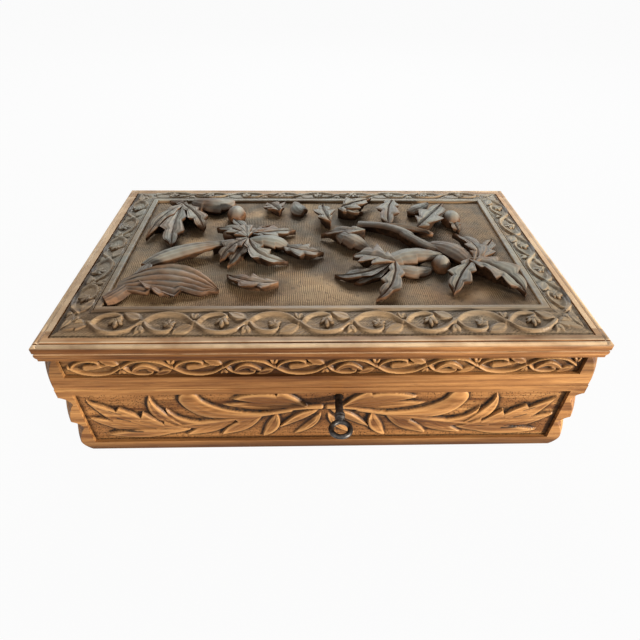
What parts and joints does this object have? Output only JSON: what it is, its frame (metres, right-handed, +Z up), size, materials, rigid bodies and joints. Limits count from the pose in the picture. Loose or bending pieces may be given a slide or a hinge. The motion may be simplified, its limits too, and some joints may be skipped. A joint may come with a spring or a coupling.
{
  "type": "jewelry box",
  "caption": "Oblong carved walnut jewelry box with a hinged lid, raised leaf carving on the top, scrolled borders, a lock and a small iron key.",
  "frame": {"origin": "middle of the underside", "axes": "+X along the length, to the right when facing the lock; +Y from the lock to the hinges; +Z up"},
  "size_m": [0.3, 0.2205, 0.0972],
  "materials": {
    "walnut_base": "waxed, worn, dark in the recesses",
    "walnut_lid": "waxed, worn, dark in the recesses",
    "walnut_rail": "waxed, worn",
    "walnut_panel": "waxed, tool marked, dark in the recesses",
    "walnut_carving": "waxed, worn on the high places",
    "walnut_plain": "plain, unpolished",
    "velvet": "velvet pile",
    "brass": "aged",
    "steel": "dull",
    "iron_key": "blackened, worn"
  },
  "bodies": {
    "base": {"base_front": "walnut_base", "base_back": "walnut_base", "base_left": "walnut_base", "base_right": "walnut_base", "base_bottom": "walnut_plain", "lining_bottom": "velvet", "lining_front": "velvet", "lining_back": "velvet", "lining_left": "velvet", "lining_right": "velvet", "hinge_base_leaf_left": "brass", "hinge_base_leaf_right": "brass", "hinge_pin_left": "steel", "hinge_pin_right": "steel", "hinge_screws_base": "steel", "lock_plate": "brass", "lock_cap": "brass", "lock_spring": "steel", "lock_drill_pin": "steel", "lock_screws": "steel"},
    "lid": {"lid_front": "walnut_lid", "lid_back": "walnut_lid", "lid_left": "walnut_lid", "lid_right": "walnut_lid", "lid_rail_front": "walnut_rail", "lid_rail_back": "walnut_rail", "lid_rail_left": "walnut_rail", "lid_rail_right": "walnut_rail", "lid_panel": "walnut_panel", "carved_spray_left": "walnut_carving", "carved_spray_right": "walnut_carving", "lid_lining": "velvet", "hinge_lid_leaf_left": "brass", "hinge_lid_leaf_right": "brass", "hinge_screws_lid": "steel", "strike_plate": "brass", "strike_screws": "steel"},
    "key": {"key": "iron_key"},
    "bolt": {"lock_bolt": "steel"}
  },
  "joints": [
    {"name": "lid_hinge", "type": "hinge", "parent": "base", "child": "lid", "pos_m": [0, 0.0925, 0.05265], "axis": [-1, 0, 0], "range_deg": [0, 100]},
    {"name": "key_turn", "type": "hinge", "parent": "base", "child": "key", "pos_m": [0.008, -0.0955, 0.0425], "axis": [0, 1, 0], "range_deg": [0, 180]},
    {"name": "bolt_throw", "type": "slide", "parent": "base", "child": "bolt", "axis": [1, 0, 0], "range_m": [0, 0.005]}
  ],
  "couplings": [
    {"joint": "key_turn", "follows": "bolt_throw", "rad_per_m": 628.32}
  ]
}
